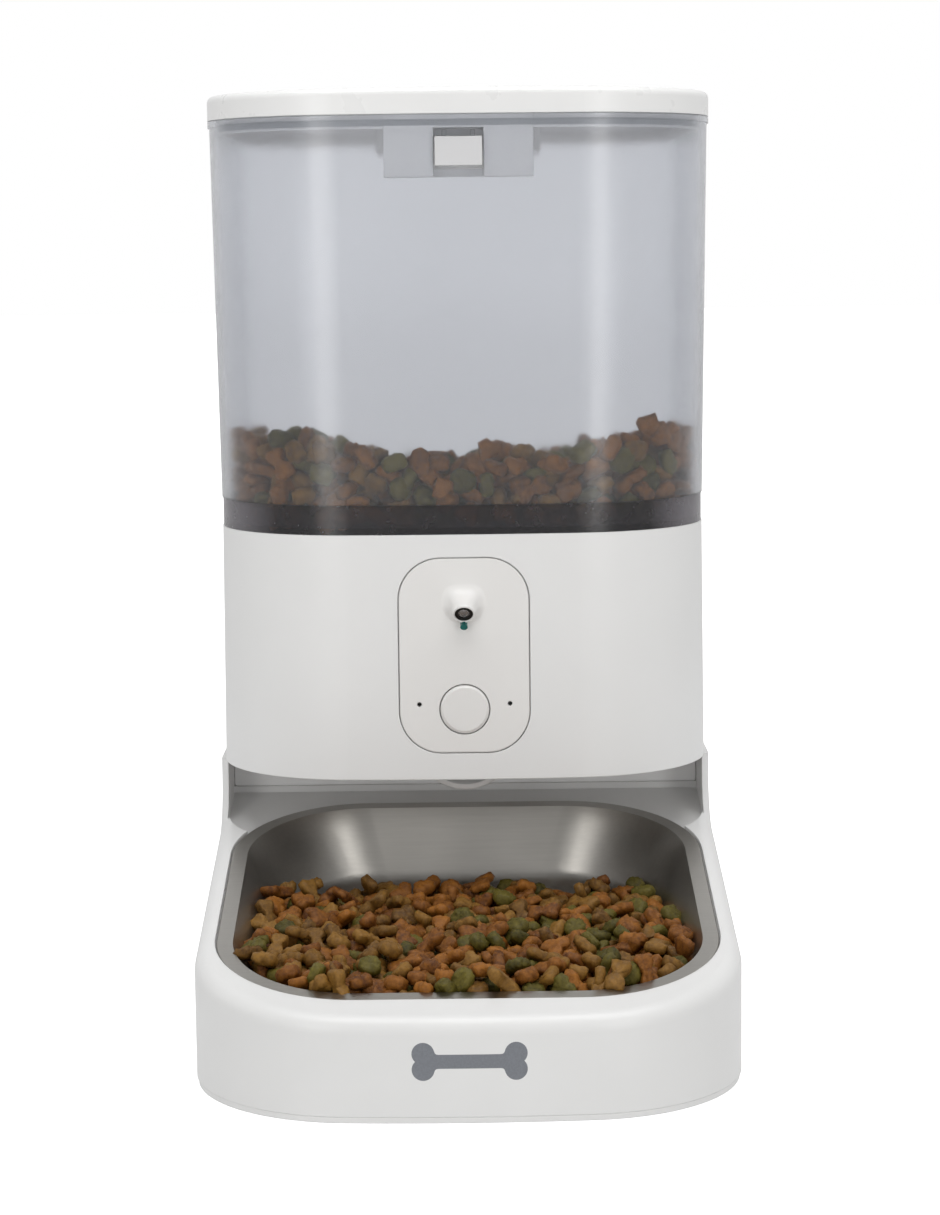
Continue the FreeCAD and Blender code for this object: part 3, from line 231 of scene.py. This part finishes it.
WHITE = (0.79, 0.79, 0.785)
LOOKS = {
    "white_plastic": moulded("white_plastic", WHITE, 0.36, edge=0.0006),
    "lid_plastic": moulded("lid_plastic", (0.83, 0.83, 0.825), 0.30),
    "latch_plastic": moulded("latch_plastic", (0.66, 0.66, 0.67), 0.36, edge=0.0005),
    "block_plastic": moulded("block_plastic", (0.90, 0.90, 0.90), 0.36, edge=0.0005),
    "panel_plastic": moulded("panel_plastic", (0.80, 0.79, 0.775), 0.34, edge=0.0007),
    "base_plastic": emblem(
        moulded("base_plastic", (0.74, 0.74, 0.735), 0.36, edge=0.0006), (0.16, 0.17, 0.19)),
    "frosted_plastic": frosted(),
    "smoked_plastic": smoked(),
    "steel": steel("steel", (0.42, 0.405, 0.38), 0.30, 900),
    "fastener_steel": steel("fastener_steel", (0.55, 0.55, 0.55), 0.35, 1600),
    "rubber": moulded("rubber", (0.05, 0.05, 0.05), 0.75, grain=1800, depth=0.0001),
    "silicone": moulded("silicone", (0.62, 0.64, 0.66), 0.6, Transmission_Weight=0.2),
    "black_plastic": moulded("black_plastic", (0.012, 0.012, 0.012), 0.35),
    "indicator": moulded("indicator", (0.02, 0.14, 0.13), 0.25, Coat_Weight=0.5),
    "circuit_board": moulded("circuit_board", (0.02, 0.12, 0.05), 0.4),
    "gear_plastic": moulded("gear_plastic", (0.72, 0.72, 0.69), 0.45),
    "motor_metal": steel("motor_metal", (0.6, 0.6, 0.62), 0.4, 500),
    "sachet_paper": moulded("sachet_paper", (0.82, 0.81, 0.78), 0.9, grain=900, depth=0.0002),
}
glass = Look("lens_glass", (0.40, 0.37, 0.35), 0.04, Transmission_Weight=0.6, IOR=1.5, Coat_Weight=1.0)
glass.tones(glass.noise(500, 2), (0.3, (0.34, 0.31, 0.30)), (0.7, (0.46, 0.42, 0.40)))
glass.bump(glass.noise(200, 1), 0.00005, 0.1)
LOOKS["lens_glass"] = glass

SPECIAL = {
    "lid_cover": "lid_plastic", "latch_block": "block_plastic", "latch_button": "latch_plastic",
    "front_panel": "panel_plastic", "feed_button": "panel_plastic", "camera_hood": "panel_plastic",
    "base_shell": "base_plastic", "microphones": "black_plastic", "lid_liner": "block_plastic",
    "neck_panel": "block_plastic",
}


def paint(piece, *names):
    """Give a piece its materials."""
    piece.data.materials.clear()
    for name in names:
        piece.data.materials.append(LOOKS[name].material)


SLOT_OF = {part["node"]: part["material_slot"] for part in frame["record"]["subparts"]}
for name, thing in nodes.items():
    for slot in thing.material_slots:
        slot.material = LOOKS[SPECIAL.get(name, SLOT_OF[name])].material

# ---------------------------------------------------------------------------------------------------------
# Dry food
# ---------------------------------------------------------------------------------------------------------

KIBBLE = {
    "kibble_orange": kibble_look("kibble_orange", (0.075, 0.022, 0.003), (0.30, 0.112, 0.014), 0),
    "kibble_tan": kibble_look("kibble_tan", (0.072, 0.031, 0.005), (0.25, 0.124, 0.021), 37),
    "kibble_olive": kibble_look("kibble_olive", (0.032, 0.027, 0.003), (0.135, 0.108, 0.014), 91),
}
LOOKS.update(KIBBLE)


def reach(circles, bar, angle):
    """How far a ray from the origin runs before it leaves a union of circles and a centred bar."""
    far = 0.0
    c, s = math.cos(angle), math.sin(angle)
    for x, y, r in circles:
        along = x * c + y * s
        off = abs(x * s - y * c)
        if off < r:
            far = max(far, along + math.sqrt(r * r - off * off))
    if bar:
        w, h = bar
        far = max(far, min(w / max(abs(c), 1e-6), h / max(abs(s), 1e-6)))
    return far


SHAPES = {
    "disc": lambda a: 1.0,
    "bone": lambda a: reach([(x, y, 0.42) for x in (-0.85, 0.85) for y in (-0.34, 0.34)], (0.9, 0.36), a),
    "heart": lambda a: reach([(-0.42, 0.3, 0.5), (0.42, 0.3, 0.5), (0, -0.35, 0.45)], (0.3, 0.4), a),
    "clover": lambda a: reach([(0, 0.5, 0.5), (-0.45, -0.3, 0.5), (0.45, -0.3, 0.5)], None, a),
}
RINGS = ((0.55, 1.0), (0.88, 0.82), (1.0, 0.38))


def kibble_form(shape, around, rng):
    """Points and faces of one piece of dry food of unit radius and unit half thickness."""
    radii = np.array([SHAPES[shape](2 * math.pi * k / around) for k in range(around)])
    radii = radii * 0.8 + (np.roll(radii, 1) + np.roll(radii, -1)) * 0.1
    radii *= 1 + 0.07 * rng.standard_normal(around) * 0.6
    angles = np.arange(around) * 2 * math.pi / around
    points = [(0, 0, 1.0)]
    for share, high in RINGS:
        points += [(r * share * math.cos(a), r * share * math.sin(a), high) for r, a in zip(radii, angles)]
    for share, high in reversed(RINGS):
        points += [(r * share * math.cos(a), r * share * math.sin(a), -high) for r, a in zip(radii, angles)]
    points.append((0, 0, -1.0))
    points = np.array(points)
    points += rng.standard_normal(points.shape) * (0.04, 0.04, 0.13)
    faces = [(0, 1 + k, 1 + (k + 1) % around) for k in range(around)]
    loops = 2 * len(RINGS)
    for i in range(loops - 1):
        first = 1 + i * around
        faces += [
            (first + k, first + around + k, first + around + (k + 1) % around, first + (k + 1) % around)
            for k in range(around)
        ]
    last = 1 + (loops - 1) * around
    faces += [(last + k, len(points) - 1, last + (k + 1) % around) for k in range(around)]
    return points, faces


def pressed(points, inside, margin=0.0012, step=0.0005):
    """Points moved inwards until each is at least a margin inside the walls."""
    x, y = points[:, 0].copy(), points[:, 1].copy()
    for _ in range(3):
        depth = inside(x, y)
        lack = np.maximum(margin - depth, 0)
        slope_x = (inside(x + step, y) - depth) / step
        slope_y = (inside(x, y + step) - depth) / step
        x += lack * slope_x
        y += lack * slope_y
    return np.column_stack([x, y, points[:, 2]])


class Heap:
    """Dry food dropped piece by piece onto a height map until it reaches a wanted surface."""

    STEP = 0.001
    OVERSHOOT = 0.006

    def __init__(self, low, high, ground, wanted, fits, seed):
        self.low = low
        self.nx, self.ny = (int((b - a) / self.STEP) + 1 for a, b in zip(low, high))
        xs = low[0] + np.arange(self.nx) * self.STEP
        ys = low[1] + np.arange(self.ny) * self.STEP
        self.x, self.y = np.meshgrid(xs, ys, indexing="ij")
        self.wanted = wanted(self.x, self.y)
        self.height = ground(self.x, self.y)
        self.fits = fits
        self.rng = np.random.default_rng(seed)
        self.placed = []

    def rest(self, x, y, wide, thick):
        """Height at which a lens-shaped piece comes to rest, with the patch it covers."""
        i0, j0 = (round((v - a) / self.STEP) for v, a in zip((x, y), self.low))
        n = int(wide / self.STEP)
        i1, i2, j1, j2 = max(i0 - n, 0), min(i0 + n + 1, self.nx), max(j0 - n, 0), min(j0 + n + 1, self.ny)
        away = (self.x[i1:i2, j1:j2] - x) ** 2 + (self.y[i1:i2, j1:j2] - y) ** 2
        half = thick * np.sqrt(np.clip(1 - away / wide ** 2, 0, 1))
        patch = self.height[i1:i2, j1:j2]
        inside = away < wide ** 2
        return float(np.max(np.where(inside, patch + half, -1))), (i1, i2, j1, j2), half, inside

    def fill(self, most, sizes, tilt):
        """Drop pieces where the heap is lowest against the wanted surface."""
        misses = 0
        while len(self.placed) < most and misses < 60:
            lack = self.wanted - self.height
            open_cells = np.argwhere(lack > 0.002)
            if len(open_cells) < 30:
                break
            shape, radius, thick, look = sizes(self.rng)
            normal = Vector((0, 0, 1)) + Vector(self.rng.standard_normal(3)) * tilt
            normal.normalize()
            lean = math.sqrt(max(0.0, 1 - normal.z ** 2))
            tall = math.sqrt((thick * abs(normal.z)) ** 2 + (radius * lean) ** 2) * 0.86
            wide = math.sqrt((radius * abs(normal.z)) ** 2 + (thick * lean) ** 2) * 0.9
            best = None
            for cell in open_cells[self.rng.integers(0, len(open_cells), 9)]:
                x, y = (a + c * self.STEP for a, c in zip(self.low, cell))
                if not self.fits(x, y, wide):
                    continue
                found = self.rest(x, y, wide, tall)
                if found[0] + tall * 0.4 > self.wanted[cell[0], cell[1]] + self.OVERSHOOT:
                    continue
                if best is None or found[0] < best[1][0]:
                    best = ((x, y), found)
            if best is None:
                misses += 1
                continue
            misses = 0
            (x, y), (z, (i1, i2, j1, j2), half, inside) = best
            patch = self.height[i1:i2, j1:j2]
            patch[inside] = np.maximum(patch, z + half)[inside]
            self.placed.append((Vector((x, y, z)), normal, shape, radius, thick, look))

    def mesh(self, name, body, around, inside=None):
        """All pieces as one mesh, pressed flat against the walls if a depth function is given."""
        forms = {s: [kibble_form(s, around, self.rng) for _ in range(7)] for s in SHAPES}
        points, faces, look_of = [], [], []
        count = 0
        for where, normal, shape, radius, thick, look in self.placed:
            form, form_faces = forms[shape][int(self.rng.integers(7))]
            spin = Matrix.Rotation(self.rng.uniform(0, 6.283), 3, "Z")
            turn = normal.to_track_quat("Z", "Y").to_matrix() @ spin
            grown = form * (radius, radius, thick)
            points.append(grown @ np.array(turn).T + np.array(where))
            faces += [tuple(count + v for v in face) for face in form_faces]
            look_of += [look] * len(form_faces)
            count += len(form)
        points = np.concatenate(points)
        if inside:
            points = pressed(points, inside)
        mesh = bpy.data.meshes.new(name)
        mesh.from_pydata(points.tolist(), [], faces)
        mesh.polygons.foreach_set("use_smooth", [True] * len(faces))
        mesh.update()
        heap = bpy.data.objects.new(name, mesh)
        scene.collection.objects.link(heap)
        paint(heap, *KIBBLE)
        mesh.polygons.foreach_set("material_index", look_of)
        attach(heap, body)
        return heap


def food_sizes(scale):
    """Random shape, radius, half thickness and colour, for food of a given scale."""

    def sizes(rng):
        shape = rng.choice(["disc", "bone", "heart", "clover"], p=[0.40, 0.36, 0.13, 0.11])
        if shape == "disc":
            radius, thick = rng.uniform(0.0041, 0.0050), rng.uniform(0.0021, 0.0028)
            look = rng.choice(3, p=[0.34, 0.24, 0.42])
        else:
            radius, thick = rng.uniform(0.0047, 0.0061), rng.uniform(0.0018, 0.0024)
            look = rng.choice(3, p=[0.60, 0.37, 0.03])
        return str(shape), radius * scale, thick * scale, int(look)

    return sizes


def surface_below(names, x, y, top, otherwise):
    """Height of the first CAD surface below a level, over a grid."""
    trees = [BVHTree.FromPolygons([v.co for v in nodes[n].data.vertices],
                                  [p.vertices for p in nodes[n].data.polygons]) for n in names]
    found = np.full(x.shape, otherwise)
    for index in np.ndindex(x.shape):
        start = Vector((x[index], y[index], top))
        hits = [t.ray_cast(start, Vector((0, 0, -1)))[0] for t in trees]
        heights = [h.z for h in hits if h is not None]
        if heights:
            found[index] = max(heights)
    return found


def coarse(function, x, y, every=3):
    """Evaluate a slow height function on every few cells and interpolate."""
    rough = function(x[::every, ::every], y[::every, ::every])
    i = np.clip(np.arange(x.shape[0]) / every, 0, rough.shape[0] - 1.001)
    j = np.clip(np.arange(x.shape[1]) / every, 0, rough.shape[1] - 1.001)
    a, b = i.astype(int), j.astype(int)
    u, v = (i - a)[:, None], (j - b)[None, :]
    p = rough[np.ix_(a, b)] * (1 - u) * (1 - v) + rough[np.ix_(a + 1, b)] * u * (1 - v)
    return p + rough[np.ix_(a, b + 1)] * (1 - u) * v + rough[np.ix_(a + 1, b + 1)] * u * v


tank_low, tank_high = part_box("tank_shell")
WALL = 0.0026
RIM = 0.0026  # how far the tank's box reaches past its wall near the foot
HALF, FRONT, REAR = tank_high.x - RIM, tank_low.y + RIM, tank_high.y - RIM
CORNER, BACK, BOW = 0.0515, 0.0355, 0.6


def depth_in_tank(x, y):
    """How far a place lies inside the tank's inner wall (near its foot)."""
    half, front, rear = HALF - WALL, FRONT + WALL, REAR - WALL
    cx = half - CORNER
    cy = front + BOW - math.sqrt((BOW - CORNER) ** 2 - cx ** 2)
    depth = np.minimum(half - np.abs(x), rear - y)
    bow = BOW - np.hypot(x, y - front - BOW)
    depth = np.minimum(depth, bow)
    corner = (np.abs(x) > cx) & (y < cy)
    depth = np.where(corner, CORNER - np.hypot(np.abs(x) - cx, y - cy), depth)
    bx, by = half - BACK, rear - BACK
    corner = (np.abs(x) > bx) & (y > by)
    return np.where(corner, np.minimum(depth, BACK - np.hypot(np.abs(x) - bx, y - by)), depth)


ROTOR_Y = 0.067
HOPPER_LEVEL = 0.2075
HOPPER_FLOOR = 0.1872
HOPPER_LAYER = 0.016


def hopper_wanted(x, y):
    """Surface of the food left in the tank: high at the sides and in front, sagging over the funnel."""
    side = np.clip(np.abs(x) / 0.09, 0, 1) ** 1.6
    dip = np.exp(-((x / 0.05) ** 2 + ((y - ROTOR_Y) / 0.05) ** 2))
    ripple = 0.0035 * np.sin(x * 95 + 0.6) * np.cos(y * 80 - 0.4)
    fall = 0.11 * np.clip(y + 0.005, 0, 0.15)
    height = HOPPER_LEVEL + 0.0115 * side - 0.008 * dip - fall + ripple
    return np.where(depth_in_tank(x, y) > 0.001, height, 0)


def hopper_ground(x, y):
    """Where pieces come to rest: the floor along the walls, and a layer's depth down further in."""
    inner = hopper_wanted(x, y) - HOPPER_LAYER
    return np.where(depth_in_tank(x, y) < 0.020, HOPPER_FLOOR, np.maximum(HOPPER_FLOOR, inner))


hopper = Heap(
    (-0.095, -0.025), (0.095, 0.16), hopper_ground, hopper_wanted,
    lambda x, y, wide: float(depth_in_tank(x, y)) > wide * 1.02, 11)
hopper.fill(1900, food_sizes(1.1), 0.8)
hopper.mesh("kibble_in_hopper", "tank", 16, depth_in_tank)

bowl_low, bowl_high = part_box("bowl")
BOWL_LEVEL = 0.0385
BOWL_LAYER = 0.017


def bowl_wanted(x, y):
    """Surface of the food in the bowl: level with the front rim, ending short of the rear wall."""
    back = (y + 0.14) / 0.135
    ripple = 0.0022 * np.sin(x * 110 + 1.0) * np.cos(y * 90)
    height = BOWL_LEVEL + 0.0065 * np.clip(back, 0, 1) + ripple
    end = -0.004 + 0.006 * np.sin(x * 70 + 2.0)
    return np.where(y < end, height, 0)


def bowl_ground(x, y):
    """Where pieces come to rest: the bowl's sheet, or a layer's depth down."""
    surface = coarse(lambda a, b: surface_below(["bowl"], a, b, 0.12, 0.2), x, y)
    return np.maximum(surface + 0.0003, bowl_wanted(x, y) - BOWL_LAYER)


bowl_heap = Heap(
    (bowl_low.x, bowl_low.y), (bowl_high.x, 0.02), bowl_ground, bowl_wanted, lambda x, y, wide: True, 5)
bowl_heap.fill(1100, food_sizes(0.93), 0.8)
bowl_heap.mesh("kibble_in_bowl", "bowl", 22)
print("food", len(hopper.placed), len(bowl_heap.placed))

# ---------------------------------------------------------------------------------------------------------
# Camera hood: a scoop that flares out of the front panel and narrows to the lens
# ---------------------------------------------------------------------------------------------------------

ring_low, ring_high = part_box("camera_ring")
panel_low, panel_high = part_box("front_panel")
TILT = math.radians(36)
OUT = Vector((0, -math.cos(TILT), -math.sin(TILT)))
UP = Vector((0, -math.sin(TILT), math.cos(TILT)))
HOOD_MIDDLE = 0.1583
HOOD_HALF = 0.0096
HOOD_MOUTH = 0.0043
HOOD_BORE = 0.00335
NOSE = Vector((0, (ring_low.y + ring_high.y) / 2, (ring_low.z + ring_high.z) / 2)) + OUT * 0.0011


def panel_face(x, z):
    """Front-to-back place of the front panel's face."""
    lean = (z - panel_low.z) / (panel_high.z - panel_low.z)
    at_middle = panel_low.y + 0.00056 * lean
    return at_middle + 0.6 - math.sqrt(0.36 - x * x)


def hood_root(angle):
    """The scoop's outline on the panel: wide and square above, narrow and round below."""
    c, s = math.cos(angle), math.sin(angle)
    power = 0.62 if s > 0 else 0.9
    half = HOOD_HALF if s > 0 else HOOD_HALF - 0.0022 * abs(s)
    tall = 0.0088 if s > 0 else 0.0082
    x = half * math.copysign(abs(c) ** power, c)
    z = tall * math.copysign(abs(s) ** power, s) + HOOD_MIDDLE
    return Vector((x, panel_face(x, z) + 0.0001, z))


def make_hood(around=72, along=12):
    """The scoop as one skin of curves from its mouth to its root, with a lip and a bore at the mouth."""
    points, faces = [], []
    for k in range(around):
        angle = 2 * math.pi * k / around
        direction = Vector((math.cos(angle), 0, 0)) + UP * math.sin(angle)
        rim = NOSE + direction * HOOD_MOUTH
        root = hood_root(angle)
        outward = Vector((root.x, 0, root.z - HOOD_MIDDLE)).normalized()
        span = (root - rim).length
        behind_rim = rim - OUT * span * 0.45
        before_root = root - outward * span * 0.42
        for i in range(along + 1):
            t = i / along
            a, b, c, d = (1 - t) ** 3, 3 * t * (1 - t) ** 2, 3 * t * t * (1 - t), t ** 3
            points.append(rim * a + behind_rim * b + before_root * c + root * d)
        points.append(rim + OUT * 0.0004 - direction * 0.0005)
        points.append(NOSE + OUT * 0.0002 + direction * HOOD_BORE)
        points.append(NOSE - OUT * 0.0030 + direction * HOOD_BORE)
    order = [along + 3, along + 2, along + 1] + list(range(along + 1))
    step = along + 4
    for k in range(around):
        a, b = k * step, (k + 1) % around * step
        faces += [(a + p, a + q, b + q, b + p) for p, q in zip(order, order[1:])]
    mesh = bpy.data.meshes.new("hood")
    mesh.from_pydata(points, [], faces)
    mesh.polygons.foreach_set("use_smooth", [True] * len(faces))
    mesh.update()
    hood = bpy.data.objects.new("hood", mesh)
    scene.collection.objects.link(hood)
    smooth = hood.modifiers.new("smooth", "SUBSURF")
    smooth.levels = smooth.render_levels = 1
    paint(hood, "panel_plastic")
    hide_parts("camera_hood")
    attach(hood, "root")


make_hood()

# ---------------------------------------------------------------------------------------------------------
# Floor, light and camera
# ---------------------------------------------------------------------------------------------------------

floor_mesh = bpy.data.meshes.new("floor")
floor_mesh.from_pydata([(-8, -4, 0), (8, -4, 0), (8, 12, 0), (-8, 12, 0)], [], [(0, 1, 2, 3)])
floor = bpy.data.objects.new("floor", floor_mesh)
scene.collection.objects.link(floor)
ground = Look("floor_paper", (0.5, 0.5, 0.5), 0.8, Emission_Color=(1, 1, 1, 1))
seen = ground.add("LightPath").outputs["Is Camera Ray"]
ground.spread(seen, 0.35, 1.1, socket="Emission Strength", start=0, end=1)
ground.tones(ground.noise(3, 3), (0.3, (0.49, 0.49, 0.49)), (0.7, (0.51, 0.51, 0.51)))
ground.bump(ground.noise(700, 2), 0.00005, 0.2)
floor.data.materials.append(ground.material)


def panel_light(name, where, target, size, power, color=(1, 1, 1)):
    """A rectangular soft light aimed at a point."""
    data = bpy.data.lights.new(name, "AREA")
    data.shape = "RECTANGLE"
    data.size, data.size_y = size
    data.energy = power
    data.color = color
    light = bpy.data.objects.new(name, data)
    scene.collection.objects.link(light)
    light.location = where
    light.rotation_euler = (Vector(target) - Vector(where)).to_track_quat("-Z", "Y").to_euler()


panel_light("overhead", (0.05, -0.30, 1.45), (0, -0.02, 0.15), (1.3, 0.9), 12.5)
panel_light("left_strip", (-0.50, -1.0, 0.34), (0, 0, 0.20), (0.30, 0.64), 2.0, (1, 0.99, 0.97))
panel_light("right_strip", (0.52, -0.98, 0.34), (0, 0, 0.20), (0.26, 0.64), 1.8, (1, 0.99, 0.97))

world = bpy.data.worlds.new("studio")
scene.world = world
world.use_nodes = True
tree = world.node_tree
background = tree.nodes["Background"]
background.inputs["Color"].default_value = (1, 1, 1, 1)
toward = tree.nodes.new("ShaderNodeTexCoord")
split = tree.nodes.new("ShaderNodeSeparateXYZ")
tree.links.new(toward.outputs["Generated"], split.inputs[0])
rise = tree.nodes.new("ShaderNodeMapRange")
rise.interpolation_type = "SMOOTHSTEP"
for key, value in {"From Min": -1.0, "From Max": 0.9, "To Min": 0.25, "To Max": 0.74}.items():
    rise.inputs[key].default_value = value
tree.links.new(split.outputs["Y"], rise.inputs["Value"])
tree.links.new(rise.outputs[0], background.inputs["Strength"])
white = tree.nodes.new("ShaderNodeBackground")
white.inputs["Color"].default_value = (1, 1, 1, 1)
white.inputs["Strength"].default_value = 1.0
choose = tree.nodes.new("ShaderNodeMixShader")
path = tree.nodes.new("ShaderNodeLightPath")
tree.links.new(path.outputs["Is Camera Ray"], choose.inputs[0])
tree.links.new(background.outputs[0], choose.inputs[1])
tree.links.new(white.outputs[0], choose.inputs[2])
tree.links.new(choose.outputs[0], tree.nodes["World Output"].inputs["Surface"])

scene.view_settings.view_transform = "Standard"
scene.view_settings.look = "None"

lens = bpy.data.cameras.new("camera")
lens.sensor_width = 36
lens.lens = 84.42
lens.clip_start = 0.05
lens.clip_end = 50
camera = bpy.data.objects.new("camera", lens)
scene.collection.objects.link(camera)
camera.matrix_world = (
    Matrix.Translation((-0.0017, -1.0793, 0.2907))
    @ Matrix.Rotation(math.radians(-0.22), 4, "Z")
    @ Matrix.Rotation(math.radians(90 - 7.21), 4, "X")
    @ Matrix.Rotation(math.radians(-0.65), 4, "Z"))
scene.camera = camera
